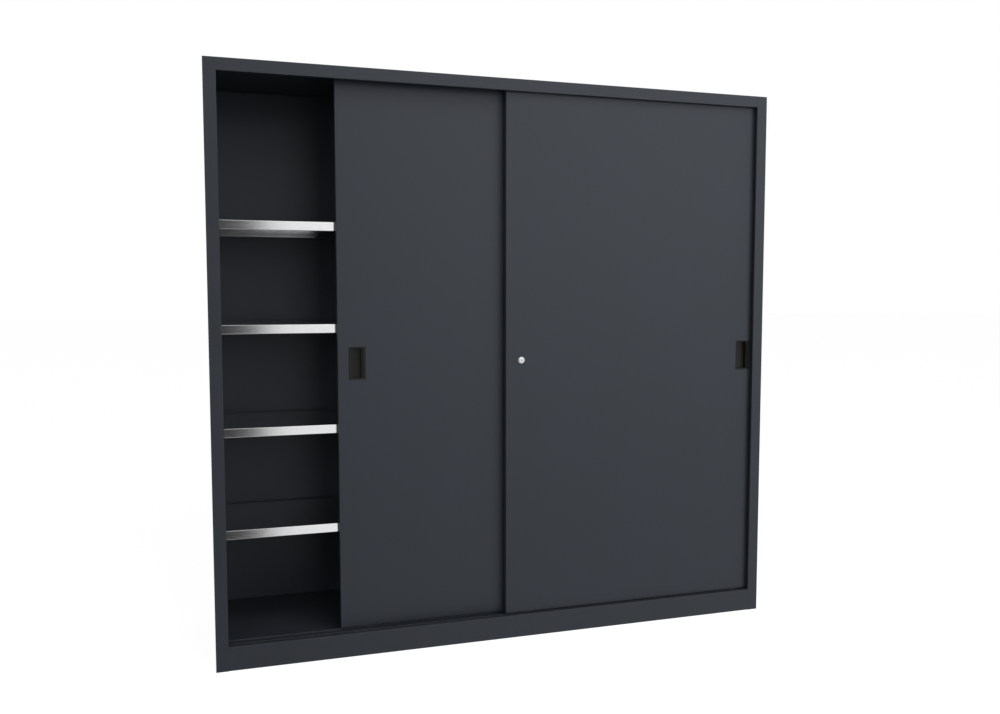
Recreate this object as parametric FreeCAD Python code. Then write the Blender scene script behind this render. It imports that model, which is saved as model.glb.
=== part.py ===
import FreeCAD
import Part
import math
import os

from FreeCAD import Vector

# A free-standing steel cabinet with two sliding doors, in millimetres.
# +X runs to the right, +Y from the front to the back, +Z up.
# The origin is the middle of the base. The doors stand in their rest pose:
# the front door closed, the rear door part open.

# --- Driving dimensions -------------------------------------------------------

# Carcass
WIDTH = 2000.0
HEIGHT = 1950.0
DEPTH = 500.0
SHEET = 1.0                  # carcass, door and shelf sheet
BEND = 0.8                   # inside radius of a folded edge
STILE_WIDTH = 40.0           # face of the front stiles
STILE_RETURN = 15.0          # how far stiles, band and plinth fold back
BAND_HEIGHT = 40.0           # front band of the roof
SEAM_EDGE = 0.6              # rounded outer edges where the roof sits on the side panels
REAR_FLANGE = 20.0           # rear flange of the side panels
ROOF_LIP = 15.0              # lips where roof and side panels are joined
BACK_FLANGE = 12.0           # flanges of the back panels, inside the partition
BACK_JOINT_GAP = 0.6         # between the two back panels
PLINTH_HEIGHT = 80.0
PLINTH_FOOT = 20.0           # how far the plinth folds back on the ground
PLINTH_LEG = 20.0            # how far its rear leg comes down
FLOOR_DROP = 8.0             # floor panel below the plinth's top
RAIL_WIDTH = 27.0            # C section under the floor's rear edge
BEARER_WIDTH = 30.0
BEARER_COUNT = 3

# Partition, uprights and shelves
PARTITION_WIDTH = 30.0
PARTITION_FOOT = 15.0        # rear flanges of the partition
INTERIOR_GAP = 6.0           # rear door to the partition
UPRIGHT_WIDTH = 30.0
UPRIGHT_DEPTH = 12.0         # how far an upright stands off its wall
UPRIGHT_SETBACK = 15.0       # front uprights behind the partition's front
UPRIGHT_REAR_GAP = 38.0      # back panel to the rear uprights
SLOT_PITCH = 20.0
SLOT_WIDTH = 4.0
SLOT_HEIGHT = 12.0
FIRST_SLOT_RISE = 22.5       # centre of the lowest slot, above the floor panel
FIRST_SHELF_SLOT = 16        # slots below the lowest shelf's clips
SHELF_SLOTS = 17             # slots from one shelf to the next
SHELF_COUNT = 4
SHELF_HEIGHT = 30.0          # folded edge of a shelf
SHELF_HEM = 12.0
HEM_EDGE = 0.45              # rounding of a shelf's cut edges
SHELF_SETBACK = 3.0          # shelves behind the partition's front
SHELF_REAR_GAP = 12.0
SHELF_END_PLAY = 0.8         # between a shelf and its clips
CLIP_SHEET = 1.5
CLIP_WIDTH = 18.0
CLIP_HEIGHT = 24.0
CLIP_LEDGE = 9.0
HOOK_DROP = 6.0              # ledge of a clip below the slot that its hook enters

# Doors
FRONT_DOOR_FACE = 20.0       # face of the front door, behind the cabinet's front
DOOR_DEPTH = 25.0
DOOR_GAP = 9.0               # front door's back to the rear door's face
DOOR_REVEAL = 2.0            # doors above the plinth's top
DOOR_RISE = 12.0             # how far the doors reach up behind the band
DOOR_HEM = 15.0              # lips round a door's open back
DOOR_BEND = 1.0              # inside radius of a door's edges
DOOR_END_GAP = 6.0           # outer end of a closed door, from the cabinet's outside
FRONT_DOOR_LEAD = 14.0       # how far the front door reaches past the middle
DOOR_OVERLAP = 80.0          # how far the doors overlap when both are closed
REAR_DOOR_OPEN = 402.0       # how far the rear door stands open at rest
STIFFENER_WIDTH = 30.0
STIFFENER_FOOT = 15.0
STIFFENER_END_GAP = 50.0
BUFFER_GAP = 0.3
BUFFER_WIDTH = 10.0
BUFFER_HEIGHT = 30.0
BUFFER_EDGE = 1.0
BUFFER_INSET = 120.0         # buffers from the floor and from the roof

# Tracks, rollers and guides
TRACK_SHEET = 1.0
TRACK_MARGIN = 12.5          # base strip past the middle of its outer ribs
RIB_WIDTH = 3.0
RIB_HEIGHT = 5.0             # top of a running rib, above the floor panel
ROLLER_GAP = 0.3             # rib to roller
TREAD_RADIUS = 14.0
FLANGE_RADIUS = 17.0
ROLLER_WIDTH = 9.0
GROOVE_WIDTH = 4.6
ROLLER_INSET = 90.0          # roller axis from the door's end
AXLE_RADIUS = 3.0
RUNNING_GAP = 0.05           # radial, for every shaft that turns or slides in a bore
BRACKET_SHEET = 1.5
BRACKET_EAR = 23.0           # screwed ears at the ends of a roller bracket
BRACKET_SIDE_GAP = 0.5
ROLLER_SLOT_GAP = 2.0
CHANNEL_WIDTH = 12.0         # inside of an upper guide channel
CHANNEL_WALL = 1.5
CHANNEL_GAP = 3.0            # upper guide's base to the channel walls
GUIDE_WIDTH = 9.4
GUIDE_LENGTH = 40.0
GUIDE_BASE = 3.0
GUIDE_TOP_GAP = 4.5
SCREW_RADIUS = 1.75
SCREW_HEAD_RADIUS = 4.0
SCREW_HEAD_HEIGHT = 2.0
SCREW_HOLE_GAP = 0.1
RIVET_HEAD_RADIUS = 4.0
RIVET_HEAD_HEIGHT = 1.0
RIVET_RADIUS = 1.6
RIVET_MAX_PITCH = 300.0
WALL_HOLE_RADIUS = 4.0
WALL_HOLE_INSET = 500.0      # wall fixing hole from the cabinet's side
WALL_HOLE_DROP = 90.0        # wall fixing hole below the cabinet's top

# Handles
HANDLE_WIDTH = 57.0
HANDLE_PLATE = 1.5
HANDLE_CORNER = 3.0
HANDLE_INSET = 37.0          # handle from the door's outer end
HANDLE_CENTRE = 987.5        # above the ground
RECESS_OFFSET = 6.0          # recess from the handle's left edge
RECESS_WIDTH = 36.0
RECESS_HEIGHT = 100.0
HANDLE_BORDER = 5.0          # plate above and below the recess
RECESS_DEPTH = 19.0
RECESS_CORNER = 2.5
HANDLE_WALL = 1.5
GRIP_GROOVE_GAP = 3.0        # from the recess to the groove beside it
GRIP_GROOVE_WIDTH = 3.5
GRIP_GROOVE_DEPTH = 5.0
HANDLE_FIT = 0.4             # cup to its cut-out

# Lock
LOCK_INSET = 57.0            # lock axis from the front door's inner end
PIN_END_GAP = 1.0            # pushed pin to the rear door's handle plate
BEZEL_RADIUS = 11.25
BEZEL_HEIGHT = 1.5
BARREL_RADIUS = 9.5
BARREL_WALL = 1.5
SPRING_PACKED = 6.5          # length of the spring when the plunger is pushed
PLUNGER_PROUD = 7.5
PLUNGER_LENGTH = 15.5
BUTTON_EDGE = 1.0
PLUG_RADIUS = 5.0
PLUG_LENGTH = 12.0
KEY_SLOT_WIDTH = 2.4
KEY_SLOT_HEIGHT = 7.6
KEY_SLOT_DEPTH = 9.0
PIN_RADIUS = 3.5
PIN_PROUD = 0.5              # pin past the front door's back when the lock is open
NUT_ACROSS_FLATS = 24.0
NUT_HEIGHT = 4.0
SPRING_WIRE = 1.1
SPRING_TURNS = 4
RUNS_PER_TURN = 12           # straight runs in a turn of the spring
SPRING_PLAY = 0.3            # spring to its seats
KEEPER_PIN_GAP = 0.7
KEEPER_WALL = 1.8            # of the keeper's neck
KEEPER_COLLAR = 2.0          # collar past the neck
KEEPER_GAP = 3.0             # collar to the front door's back
KEEPER_TAIL = 3.0

# --- Places worked out from them ----------------------------------------------

LEFT = -WIDTH / 2
RIGHT = WIDTH / 2
FRONT = -DEPTH / 2
BACK = DEPTH / 2 - RIVET_HEAD_HEIGHT
BAND_BOTTOM = HEIGHT - BAND_HEIGHT
CEILING = HEIGHT - SHEET
FLANGE_FACE = BACK - SHEET               # front of the side panels' rear flanges
BACK_FACE = FLANGE_FACE - SHEET          # inner face of the back panels
FLOOR_FRONT = FRONT + STILE_RETURN + SHEET
FLOOR_HEIGHT = PLINTH_HEIGHT - FLOOR_DROP
FLOOR_UNDERSIDE = FLOOR_HEIGHT - SHEET
RIB_TOP = FLOOR_HEIGHT + RIB_HEIGHT
INNER_LEFT = LEFT + SHEET
INNER_RIGHT = RIGHT - SHEET
PARTITION_LEFT = -PARTITION_WIDTH / 2
PARTITION_RIGHT = PARTITION_WIDTH / 2

FRONT_FACE_Y = FRONT + FRONT_DOOR_FACE
REAR_FACE_Y = FRONT_FACE_Y + DOOR_DEPTH + DOOR_GAP
INTERIOR_FRONT = REAR_FACE_Y + DOOR_DEPTH + INTERIOR_GAP
DOOR_BOTTOM = PLINTH_HEIGHT + DOOR_REVEAL
DOOR_TOP = BAND_BOTTOM + DOOR_RISE
FRONT_DOOR_LEFT = -FRONT_DOOR_LEAD
FRONT_DOOR_RIGHT = RIGHT - DOOR_END_GAP
REAR_DOOR_CLOSED_LEFT = LEFT + DOOR_END_GAP
REAR_DOOR_CLOSED_RIGHT = FRONT_DOOR_LEFT + DOOR_OVERLAP
REAR_DOOR_LEFT = REAR_DOOR_CLOSED_LEFT + REAR_DOOR_OPEN
REAR_DOOR_RIGHT = REAR_DOOR_CLOSED_RIGHT + REAR_DOOR_OPEN
LOCK_X = FRONT_DOOR_LEFT + LOCK_INSET
KEEPER_X = LOCK_X + REAR_DOOR_OPEN
AXLE_Z = RIB_TOP + ROLLER_GAP + TREAD_RADIUS
ROLLER_ROOM = FLANGE_RADIUS + ROLLER_SLOT_GAP
BRACKET_REACH = ROLLER_ROOM + BRACKET_EAR
TRACK_CENTRES = [face + DOOR_DEPTH / 2 for face in (FRONT_FACE_Y, REAR_FACE_Y)]
FIRST_SLOT = FLOOR_HEIGHT + FIRST_SLOT_RISE
SLOT_COUNT = int((BAND_BOTTOM - FIRST_SLOT - SLOT_PITCH) // SLOT_PITCH) + 1
UPRIGHT_BOTTOM = FLOOR_HEIGHT
UPRIGHT_TOP = FIRST_SLOT + SLOT_COUNT * SLOT_PITCH
CHANNEL_BOTTOM = DOOR_TOP + GUIDE_BASE + CHANNEL_GAP
LOCK_TRAVEL = DOOR_GAP - PIN_PROUD - HANDLE_PLATE - PIN_END_GAP
HOUSING_LENGTH = PLUNGER_LENGTH - PLUNGER_PROUD + LOCK_TRAVEL + SPRING_PACKED + BARREL_WALL
BUTTON_RADIUS = BARREL_RADIUS - BARREL_WALL
KEEPER_BORE = PIN_RADIUS + KEEPER_PIN_GAP
KEEPER_NECK = KEEPER_BORE + KEEPER_WALL


# --- Shapes -------------------------------------------------------------------

ALONG_X, ALONG_Y, ALONG_Z = (1, 0, 0), (0, 1, 0), (0, 0, 1)
TOUCH = 1e-6                 # values closer than this are the same
MITRED = 1                   # a swept section keeps mitred corners


def block(x, y, z):
    """A block between two values along each axis."""
    return Part.makeBox(x[1] - x[0], y[1] - y[0], z[1] - z[0], Vector(x[0], y[0], z[0]))


def rod(radius, start, length, axis):
    return Part.makeCylinder(radius, length, Vector(*start), Vector(*axis))


def along_y(radius, x, y, z):
    """A round bar along Y between two values of y."""
    return rod(radius, (x, y[0], z), y[1] - y[0], ALONG_Y)


def fused(shapes):
    whole = shapes[0].fuse(shapes[1:]) if len(shapes) > 1 else shapes[0]
    return whole.removeSplitter()


def straight_edges(shape, direction, keep=lambda middle: True):
    """Straight edges of a shape along one direction whose middle passes a test."""
    found = []
    for edge in shape.Edges:
        if edge.Curve.TypeId != "Part::GeomLine":
            continue
        start, end = edge.Vertexes[0].Point, edge.Vertexes[-1].Point
        run = (end - start).normalize()
        if abs(run.dot(Vector(*direction))) > 0.999 and keep((start + end) * 0.5):
            found.append(edge)
    return found


def fold_section(points, to_space, thickness=SHEET, bend=BEND):
    """Face of a folded strip. The points run along the middle of the sheet."""
    path = [Vector(u, v, 0) for u, v in points]
    runs = [(b - a).normalize() for a, b in zip(path, path[1:])]
    normals = [Vector(-run.y, run.x, 0) for run in runs]

    def side(offset):
        pieces = []
        start = path[0] + normals[0] * offset
        for i in range(1, len(path) - 1):
            before, after = normals[i - 1], normals[i]
            turn = 1 if runs[i - 1].cross(runs[i]).z > 0 else -1
            mitre = (before + after) * (1 / (1 + before.dot(after)))
            corner = path[i] + mitre * offset
            radius = bend + thickness / 2 - turn * offset
            centre = corner + mitre * (turn * radius)
            setback = radius * math.tan(math.acos(before.dot(after)) / 2)
            middle = centre - (before + after).normalize() * (turn * radius)
            arc_start = corner - runs[i - 1] * setback
            arc_end = corner + runs[i] * setback
            pieces.append([start, arc_start])
            pieces.append([arc_start, middle, arc_end])
            start = arc_end
        pieces.append([start, path[-1] + normals[-1] * offset])
        return pieces

    outward = side(-thickness / 2)
    inward = [piece[::-1] for piece in side(thickness / 2)[::-1]]
    end_cap = [outward[-1][-1], inward[0][0]]
    start_cap = [inward[-1][-1], outward[0][0]]
    edges = []
    for piece in outward + [end_cap] + inward + [start_cap]:
        spots = [Vector(*to_space(p.x, p.y)) for p in piece]
        if len(spots) == 2:
            edges.append(Part.makeLine(*spots))
        else:
            edges.append(Part.Arc(*spots).toShape())
    return Part.Face(Part.Wire(edges))


def folded_upright(points, z, thickness=SHEET, bend=BEND):
    """A strip folded in plan, given as x and y, and standing between two heights."""
    face = fold_section(points, lambda u, v: (u, v, z[0]), thickness, bend)
    return face.extrude(Vector(0, 0, z[1] - z[0]))


def folded_across(points, x, thickness=SHEET, bend=BEND):
    """A strip folded in the Y-Z plane, and running along X."""
    face = fold_section(points, lambda u, v: (x[0], u, v), thickness, bend)
    return face.extrude(Vector(x[1] - x[0], 0, 0))


def folded_lengthways(points, y, thickness=SHEET, bend=BEND):
    """A strip folded in the X-Z plane, and running along Y."""
    face = fold_section(points, lambda u, v: (u, y[0], v), thickness, bend)
    return face.extrude(Vector(0, y[1] - y[0], 0))


def rounded_block(x, y, z, radius, depth_axis):
    """A block rounded along its depth and round its outer face.

    The outer face is the front one for a depth along Y, and the top one along Z.
    """
    solid = block(x, y, z)
    axis, level = (1, y[0]) if depth_axis == ALONG_Y else (2, z[1])
    edges = straight_edges(solid, depth_axis)
    for direction in (ALONG_X, ALONG_Y, ALONG_Z):
        if direction != depth_axis:
            edges += straight_edges(solid, direction, lambda m: abs(m[axis] - level) < TOUCH)
    return solid.makeFillet(radius, edges)


def edges_at(shape, axis, level):
    """Edges of a shape that lie wholly at one value of X, Y or Z."""
    flat = lambda edge: all(abs(vertex.Point[axis] - level) < TOUCH for vertex in edge.Vertexes)
    return [edge for edge in shape.Edges if flat(edge)]


def mirrored(shape):
    return shape.mirror(Vector(0, 0, 0), Vector(*ALONG_X))


def spread(start, end, max_pitch):
    """Evenly spaced values from start to end, no further apart than max_pitch."""
    gaps = max(1, math.ceil((end - start) / max_pitch))
    return [start + (end - start) * i / gaps for i in range(gaps + 1)]


def save(node, *solids):
    os.makedirs("parts", exist_ok=True)
    shape = solids[0] if len(solids) == 1 else Part.makeCompound(list(solids))
    for solid in shape.Solids:
        if not solid.isValid() or solid.Volume <= 0:
            raise ValueError(node + " is not a sound solid")
    shape.exportStep("parts/" + node + ".step")
    print(node, len(shape.Solids), round(shape.Volume / 1000, 2), "cm3")


# --- Carcass ------------------------------------------------------------------

HALF = SHEET / 2


def wall_holes():
    """Two holes in the back for fixing the cabinet to a wall."""
    z = HEIGHT - WALL_HOLE_DROP
    places = (LEFT + WALL_HOLE_INSET, RIGHT - WALL_HOLE_INSET)
    return [along_y(WALL_HOLE_RADIUS, x, (BACK_FACE - SHEET, BACK + SHEET), z) for x in places]


def back_rivet_places():
    """Rivets along the rear flanges of the side panels and of the partition."""
    columns = [LEFT + REAR_FLANGE / 2, RIGHT - REAR_FLANGE / 2]
    foot_middle = PARTITION_WIDTH / 2 + PARTITION_FOOT / 2
    columns += [-foot_middle, foot_middle]
    heights = spread(FLOOR_HEIGHT + SLOT_PITCH, BAND_BOTTOM - SLOT_PITCH, RIVET_MAX_PITCH)
    return [(x, z) for x in columns for z in heights]


def rivet_holes():
    span = (BACK_FACE - 2 * SHEET, BACK + SHEET)
    radius = RIVET_RADIUS + SCREW_HOLE_GAP
    return [along_y(radius, x, span, z) for x, z in back_rivet_places()]


def left_side_panel():
    """Side wall with its front stile and rear flange, folded from one sheet."""
    section = [
        (LEFT + STILE_WIDTH - HALF, FRONT + STILE_RETURN),
        (LEFT + STILE_WIDTH - HALF, FRONT + HALF),
        (LEFT + HALF, FRONT + HALF),
        (LEFT + HALF, BACK - HALF),
        (LEFT + REAR_FLANGE, BACK - HALF),
    ]
    wall = folded_upright(section, (0, BAND_BOTTOM))
    on_outside = lambda edge: all(min(v.X - LEFT, v.Y - FRONT) < BEND for v in edge.Vertexes)
    wall = wall.makeFillet(SEAM_EDGE, [edge for edge in edges_at(wall, 2, BAND_BOTTOM) if on_outside(edge)])
    top_flange = block(
        (LEFT + HALF, LEFT + ROOF_LIP),
        (INTERIOR_FRONT, BACK_FACE),
        (BAND_BOTTOM - SHEET, BAND_BOTTOM),
    )
    return fused([wall, top_flange]).cut(rivet_holes())


def roof_panel():
    """A lid with a flange down all round, and lips that lie on the side panels."""
    below_and_above = (BAND_BOTTOM - SHEET, BAND_BOTTOM + 2 * SHEET)
    x, y, z = (LEFT, RIGHT), (FRONT, BACK), (BAND_BOTTOM, HEIGHT)
    outer = rounded_block(x, y, z, BEND + SHEET, ALONG_Z)
    outer = outer.makeFillet(SEAM_EDGE, edges_at(outer, 2, BAND_BOTTOM))
    inside = rounded_block(
        (INNER_LEFT, INNER_RIGHT),
        (FRONT + SHEET, FLANGE_FACE),
        (BAND_BOTTOM + SHEET, CEILING),
        BEND,
        ALONG_Z,
    )
    opening = block(
        (LEFT + ROOF_LIP, RIGHT - ROOF_LIP),
        (FRONT + STILE_RETURN, FLANGE_FACE),
        below_and_above,
    )
    door_space = block(
        (INNER_LEFT, INNER_RIGHT),
        (FRONT + STILE_RETURN, INTERIOR_FRONT),
        below_and_above,
    )
    back_space = block((INNER_LEFT, INNER_RIGHT), (BACK_FACE, FLANGE_FACE), below_and_above)
    return outer.cut([inside, opening, door_space, back_space])


def plinth_front():
    foot = FRONT + PLINTH_FOOT
    leg = FRONT + STILE_RETURN + HALF
    section = [
        (foot, HALF),
        (FRONT + HALF, HALF),
        (FRONT + HALF, PLINTH_HEIGHT - HALF),
        (leg, PLINTH_HEIGHT - HALF),
        (leg, PLINTH_HEIGHT - PLINTH_LEG),
    ]
    return folded_across(section, (LEFT + STILE_WIDTH, RIGHT - STILE_WIDTH))


def plinth_rear():
    front = BACK_FACE - SHEET - RAIL_WIDTH
    back = BACK_FACE - SHEET - HALF
    section = [
        (front, HALF),
        (back, HALF),
        (back, FLOOR_UNDERSIDE - HALF),
        (front, FLOOR_UNDERSIDE - HALF),
    ]
    end = INNER_RIGHT - SHEET - BEND
    return folded_across(section, (-end, end))


def floor_panel():
    """A flat sheet on the bearers and the rear rail, welded to the plinth's leg and the sides."""
    sheet = block((INNER_LEFT, INNER_RIGHT), (FLOOR_FRONT, BACK_FACE), (FLOOR_UNDERSIDE, FLOOR_HEIGHT))
    return sheet.makeFillet(BEND + SHEET, straight_edges(sheet, ALONG_Z))


def floor_bearer(x):
    """A C section from the front to the back under the floor."""
    right = x + BEARER_WIDTH
    section = [
        (right, HALF),
        (x + HALF, HALF),
        (x + HALF, FLOOR_UNDERSIDE - HALF),
        (right, FLOOR_UNDERSIDE - HALF),
    ]
    front = max(FRONT + PLINTH_FOOT, FLOOR_FRONT) + 2 * SHEET
    return folded_lengthways(section, (front, BACK_FACE - SHEET - RAIL_WIDTH - HALF))


def back_panel_left():
    """Flat back sheet with a flange forward inside the hollow partition."""
    joint = -BACK_JOINT_GAP / 2
    section = [
        (INNER_LEFT + BEND, BACK_FACE + HALF),
        (joint - HALF, BACK_FACE + HALF),
        (joint - HALF, BACK_FACE - BACK_FLANGE),
    ]
    sheet = folded_upright(section, (0, CEILING - BEND))
    below_floor = block(
        (-PARTITION_WIDTH / 2, 0), (BACK_FACE - 2 * BACK_FLANGE, BACK_FACE), (-SHEET, FLOOR_HEIGHT))
    return sheet.cut(rivet_holes() + wall_holes() + [below_floor])


def centre_partition():
    """A hollow post section folded from one sheet, open to the back."""
    left, right = PARTITION_LEFT + HALF, PARTITION_RIGHT - HALF
    front, back = INTERIOR_FRONT + HALF, BACK_FACE - HALF
    section = [
        (PARTITION_LEFT - PARTITION_FOOT, back),
        (left, back),
        (left, front),
        (right, front),
        (right, back),
        (PARTITION_RIGHT + PARTITION_FOOT, back),
    ]
    return folded_upright(section, (FLOOR_HEIGHT, CEILING)).cut(rivet_holes())


def bottom_track():
    """A base strip with a round-topped running rib for each door."""
    x = (INNER_LEFT + SHEET, INNER_RIGHT - SHEET)
    y = (TRACK_CENTRES[0] - TRACK_MARGIN, TRACK_CENTRES[1] + TRACK_MARGIN)
    pieces = [block(x, y, (FLOOR_HEIGHT, FLOOR_HEIGHT + TRACK_SHEET))]
    crown = RIB_TOP - RIB_WIDTH / 2
    for centre in TRACK_CENTRES:
        sides = (centre - RIB_WIDTH / 2, centre + RIB_WIDTH / 2)
        pieces.append(block(x, sides, (FLOOR_HEIGHT, crown)))
        pieces.append(rod(RIB_WIDTH / 2, (x[0], centre, crown), x[1] - x[0], ALONG_X))
    return fused(pieces)


def top_track():
    """Two channels, open downwards, that hold the doors' upper guides."""
    x = (INNER_LEFT + SHEET, INNER_RIGHT - SHEET)
    half_channel = CHANNEL_WIDTH / 2
    outer = half_channel + CHANNEL_WALL
    y = (TRACK_CENTRES[0] - outer, TRACK_CENTRES[1] + outer)
    pieces = [block(x, y, (CEILING - CHANNEL_WALL, CEILING))]
    for centre in TRACK_CENTRES:
        for near, far in ((-outer, -half_channel), (half_channel, outer)):
            pieces.append(block(x, (centre + near, centre + far), (CHANNEL_BOTTOM, CEILING)))
    return fused(pieces)


def rivet(x, z):
    """A domed head on the back, with its shank through two sheets."""
    seat = Vector(x, BACK, z)
    outward = Vector(*ALONG_Y)
    sphere_radius = (RIVET_HEAD_RADIUS ** 2 + RIVET_HEAD_HEIGHT ** 2) / (2 * RIVET_HEAD_HEIGHT)
    centre = seat + outward * (RIVET_HEAD_HEIGHT - sphere_radius)
    ball = Part.makeSphere(sphere_radius, centre, outward)
    disc = Part.makeCylinder(RIVET_HEAD_RADIUS, RIVET_HEAD_HEIGHT, seat, outward)
    grip = 2 * SHEET
    shank = Part.makeCylinder(RIVET_RADIUS, grip, seat - outward * grip, outward)
    return fused([ball.common(disc), shank])


def door_buffers():
    """Rubber blocks on the side walls that stop each door's ends."""
    thickness = DOOR_END_GAP - SHEET - BUFFER_GAP
    heights = (DOOR_BOTTOM + BUFFER_INSET, BAND_BOTTOM - BUFFER_INSET)
    blocks = []
    for centre in TRACK_CENTRES:
        for z in heights:
            y = (centre - BUFFER_WIDTH / 2, centre + BUFFER_WIDTH / 2)
            span = (z - BUFFER_HEIGHT / 2, z + BUFFER_HEIGHT / 2)
            stop = block((INNER_LEFT, INNER_LEFT + thickness), y, span)
            face = INNER_LEFT + thickness
            stop = stop.makeFillet(BUFFER_EDGE, edges_at(stop, 0, face))
            blocks += [stop, mirrored(stop)]
    return blocks


# --- Uprights, clips and shelves ----------------------------------------------

UPRIGHT_STARTS = {
    "front": INTERIOR_FRONT + UPRIGHT_SETBACK,
    "rear": BACK_FACE - UPRIGHT_REAR_GAP - UPRIGHT_WIDTH,
}
# Wall that an upright stands on, and the side on which its shelf lies.
WALLS = {
    "left_wall": (INNER_LEFT, 1),
    "partition_left": (PARTITION_LEFT, -1),
    "partition_right": (PARTITION_RIGHT, 1),
    "right_wall": (INNER_RIGHT, -1),
}
BAYS = {
    "left": (WALLS["left_wall"], WALLS["partition_left"]),
    "right": (WALLS["partition_right"], WALLS["right_wall"]),
}


def slot_centre(number):
    return FIRST_SLOT + number * SLOT_PITCH


def shelf_underside(level):
    return slot_centre(FIRST_SHELF_SLOT + level * SHELF_SLOTS) - HOOK_DROP


def slotted_upright(wall_x, side, start):
    """A channel on a wall, with a ladder of slots in its face."""
    web = wall_x + side * (UPRIGHT_DEPTH - HALF)
    section = [
        (wall_x, start + HALF),
        (web, start + HALF),
        (web, start + UPRIGHT_WIDTH - HALF),
        (wall_x, start + UPRIGHT_WIDTH - HALF),
    ]
    channel = folded_upright(section, (UPRIGHT_BOTTOM, UPRIGHT_TOP))
    middle = start + UPRIGHT_WIDTH / 2
    x = sorted((web - side * SHEET, web + side * SHEET))
    y = (middle - SLOT_WIDTH / 2, middle + SLOT_WIDTH / 2)
    slots = []
    for number in range(SLOT_COUNT):
        z = slot_centre(number)
        slots.append(block(x, y, (z - SLOT_HEIGHT / 2, z + SLOT_HEIGHT / 2)))
    return channel.cut(Part.makeCompound(slots))


def shelf_clip(wall_x, side, start, level):
    """A bent clip that hooks into a slot and carries a shelf on its ledge."""
    middle = start + UPRIGHT_WIDTH / 2
    seat = shelf_underside(level)
    web = wall_x + side * UPRIGHT_DEPTH
    outside = web + side * CLIP_SHEET
    bottom = seat - CLIP_SHEET
    y = (middle - CLIP_WIDTH / 2, middle + CLIP_WIDTH / 2)
    tongue = (middle - SLOT_WIDTH / 2 + SCREW_HOLE_GAP, middle + SLOT_WIDTH / 2 - SCREW_HOLE_GAP)
    hook_z = seat + HOOK_DROP
    hook_end = web - side * (SHEET + CLIP_SHEET)
    plate = block(sorted((web, outside)), y, (bottom, bottom + CLIP_HEIGHT))
    ledge = block(sorted((web, outside + side * CLIP_LEDGE)), y, (bottom, seat))
    half_slot = SLOT_HEIGHT / 2
    neck = block(sorted((hook_end, outside)), tongue, (hook_z - half_slot / 2, hook_z + half_slot / 2))
    return fused([plate, ledge, neck])


def shelf(bay, level):
    """A pan folded down on all four sides, with hems along its lower edges."""
    (left_wall, _), (right_wall, _) = bay
    margin = UPRIGHT_DEPTH + CLIP_SHEET + SHELF_END_PLAY
    x = (left_wall + margin, right_wall - margin)
    y = (INTERIOR_FRONT + SHELF_SETBACK, BACK_FACE - SHELF_REAR_GAP)
    bottom = shelf_underside(level)
    z = (bottom, bottom + SHELF_HEIGHT)
    outer = rounded_block(x, y, z, BEND + SHEET, ALONG_Z)
    outer = outer.makeFillet(BEND + SHEET, edges_at(outer, 2, z[0]))
    inside = rounded_block(
        (x[0] + SHEET, x[1] - SHEET),
        (y[0] + SHEET, y[1] - SHEET),
        (z[0] + SHEET, z[1] - SHEET),
        BEND,
        ALONG_Z,
    )
    inside = inside.makeFillet(BEND, edges_at(inside, 2, z[0] + SHEET))
    opening = block(
        (x[0] + SHELF_HEM, x[1] - SHELF_HEM),
        (y[0] + SHELF_HEM, y[1] - SHELF_HEM),
        (z[0] - SHEET, z[0] + 2 * SHEET),
    )
    pan = outer.cut([inside, opening])
    at_opening = lambda edge: all(opening.isInside(v.Point, TOUCH, True) for v in edge.Vertexes)
    rims = edges_at(pan, 2, z[0]) + edges_at(pan, 2, z[0] + SHEET)
    return pan.makeFillet(HEM_EDGE, [edge for edge in rims if at_opening(edge)])


# --- Doors --------------------------------------------------------------------

def roller_places(x):
    return {"left": x[0] + ROLLER_INSET, "right": x[1] - ROLLER_INSET}


def screw(x, y, z, length, up):
    """A pan-head screw along Z. Its head sits on z, on the side that up gives."""
    axis = Vector(0, 0, up)
    seat = Vector(x, y, z)
    head = Part.makeCylinder(SCREW_HEAD_RADIUS, SCREW_HEAD_HEIGHT, seat, axis)
    rim = edges_at(head, 2, z + up * SCREW_HEAD_HEIGHT)
    head = head.makeFillet(SCREW_HEAD_HEIGHT / 3, rim)
    shank = Part.makeCylinder(SCREW_RADIUS, length, seat - axis * length, axis)
    return fused([head, shank])


def bracket_screw_places(x, y_face):
    """Screws through the ears of both roller brackets."""
    centre = y_face + DOOR_DEPTH / 2
    reach = BRACKET_REACH - SCREW_HEAD_RADIUS * 2
    places = []
    for axle_x in roller_places(x).values():
        places += [(axle_x - reach, centre), (axle_x + reach, centre)]
    return places


def guide_screw_places(x, y_face):
    """Screws that hold the upper guides, from inside the door."""
    centre = y_face + DOOR_DEPTH / 2
    reach = GUIDE_LENGTH / 2 - SCREW_HEAD_RADIUS * 2
    places = []
    for guide_x in roller_places(x).values():
        places += [(guide_x - reach, centre), (guide_x + reach, centre)]
    return places


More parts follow.
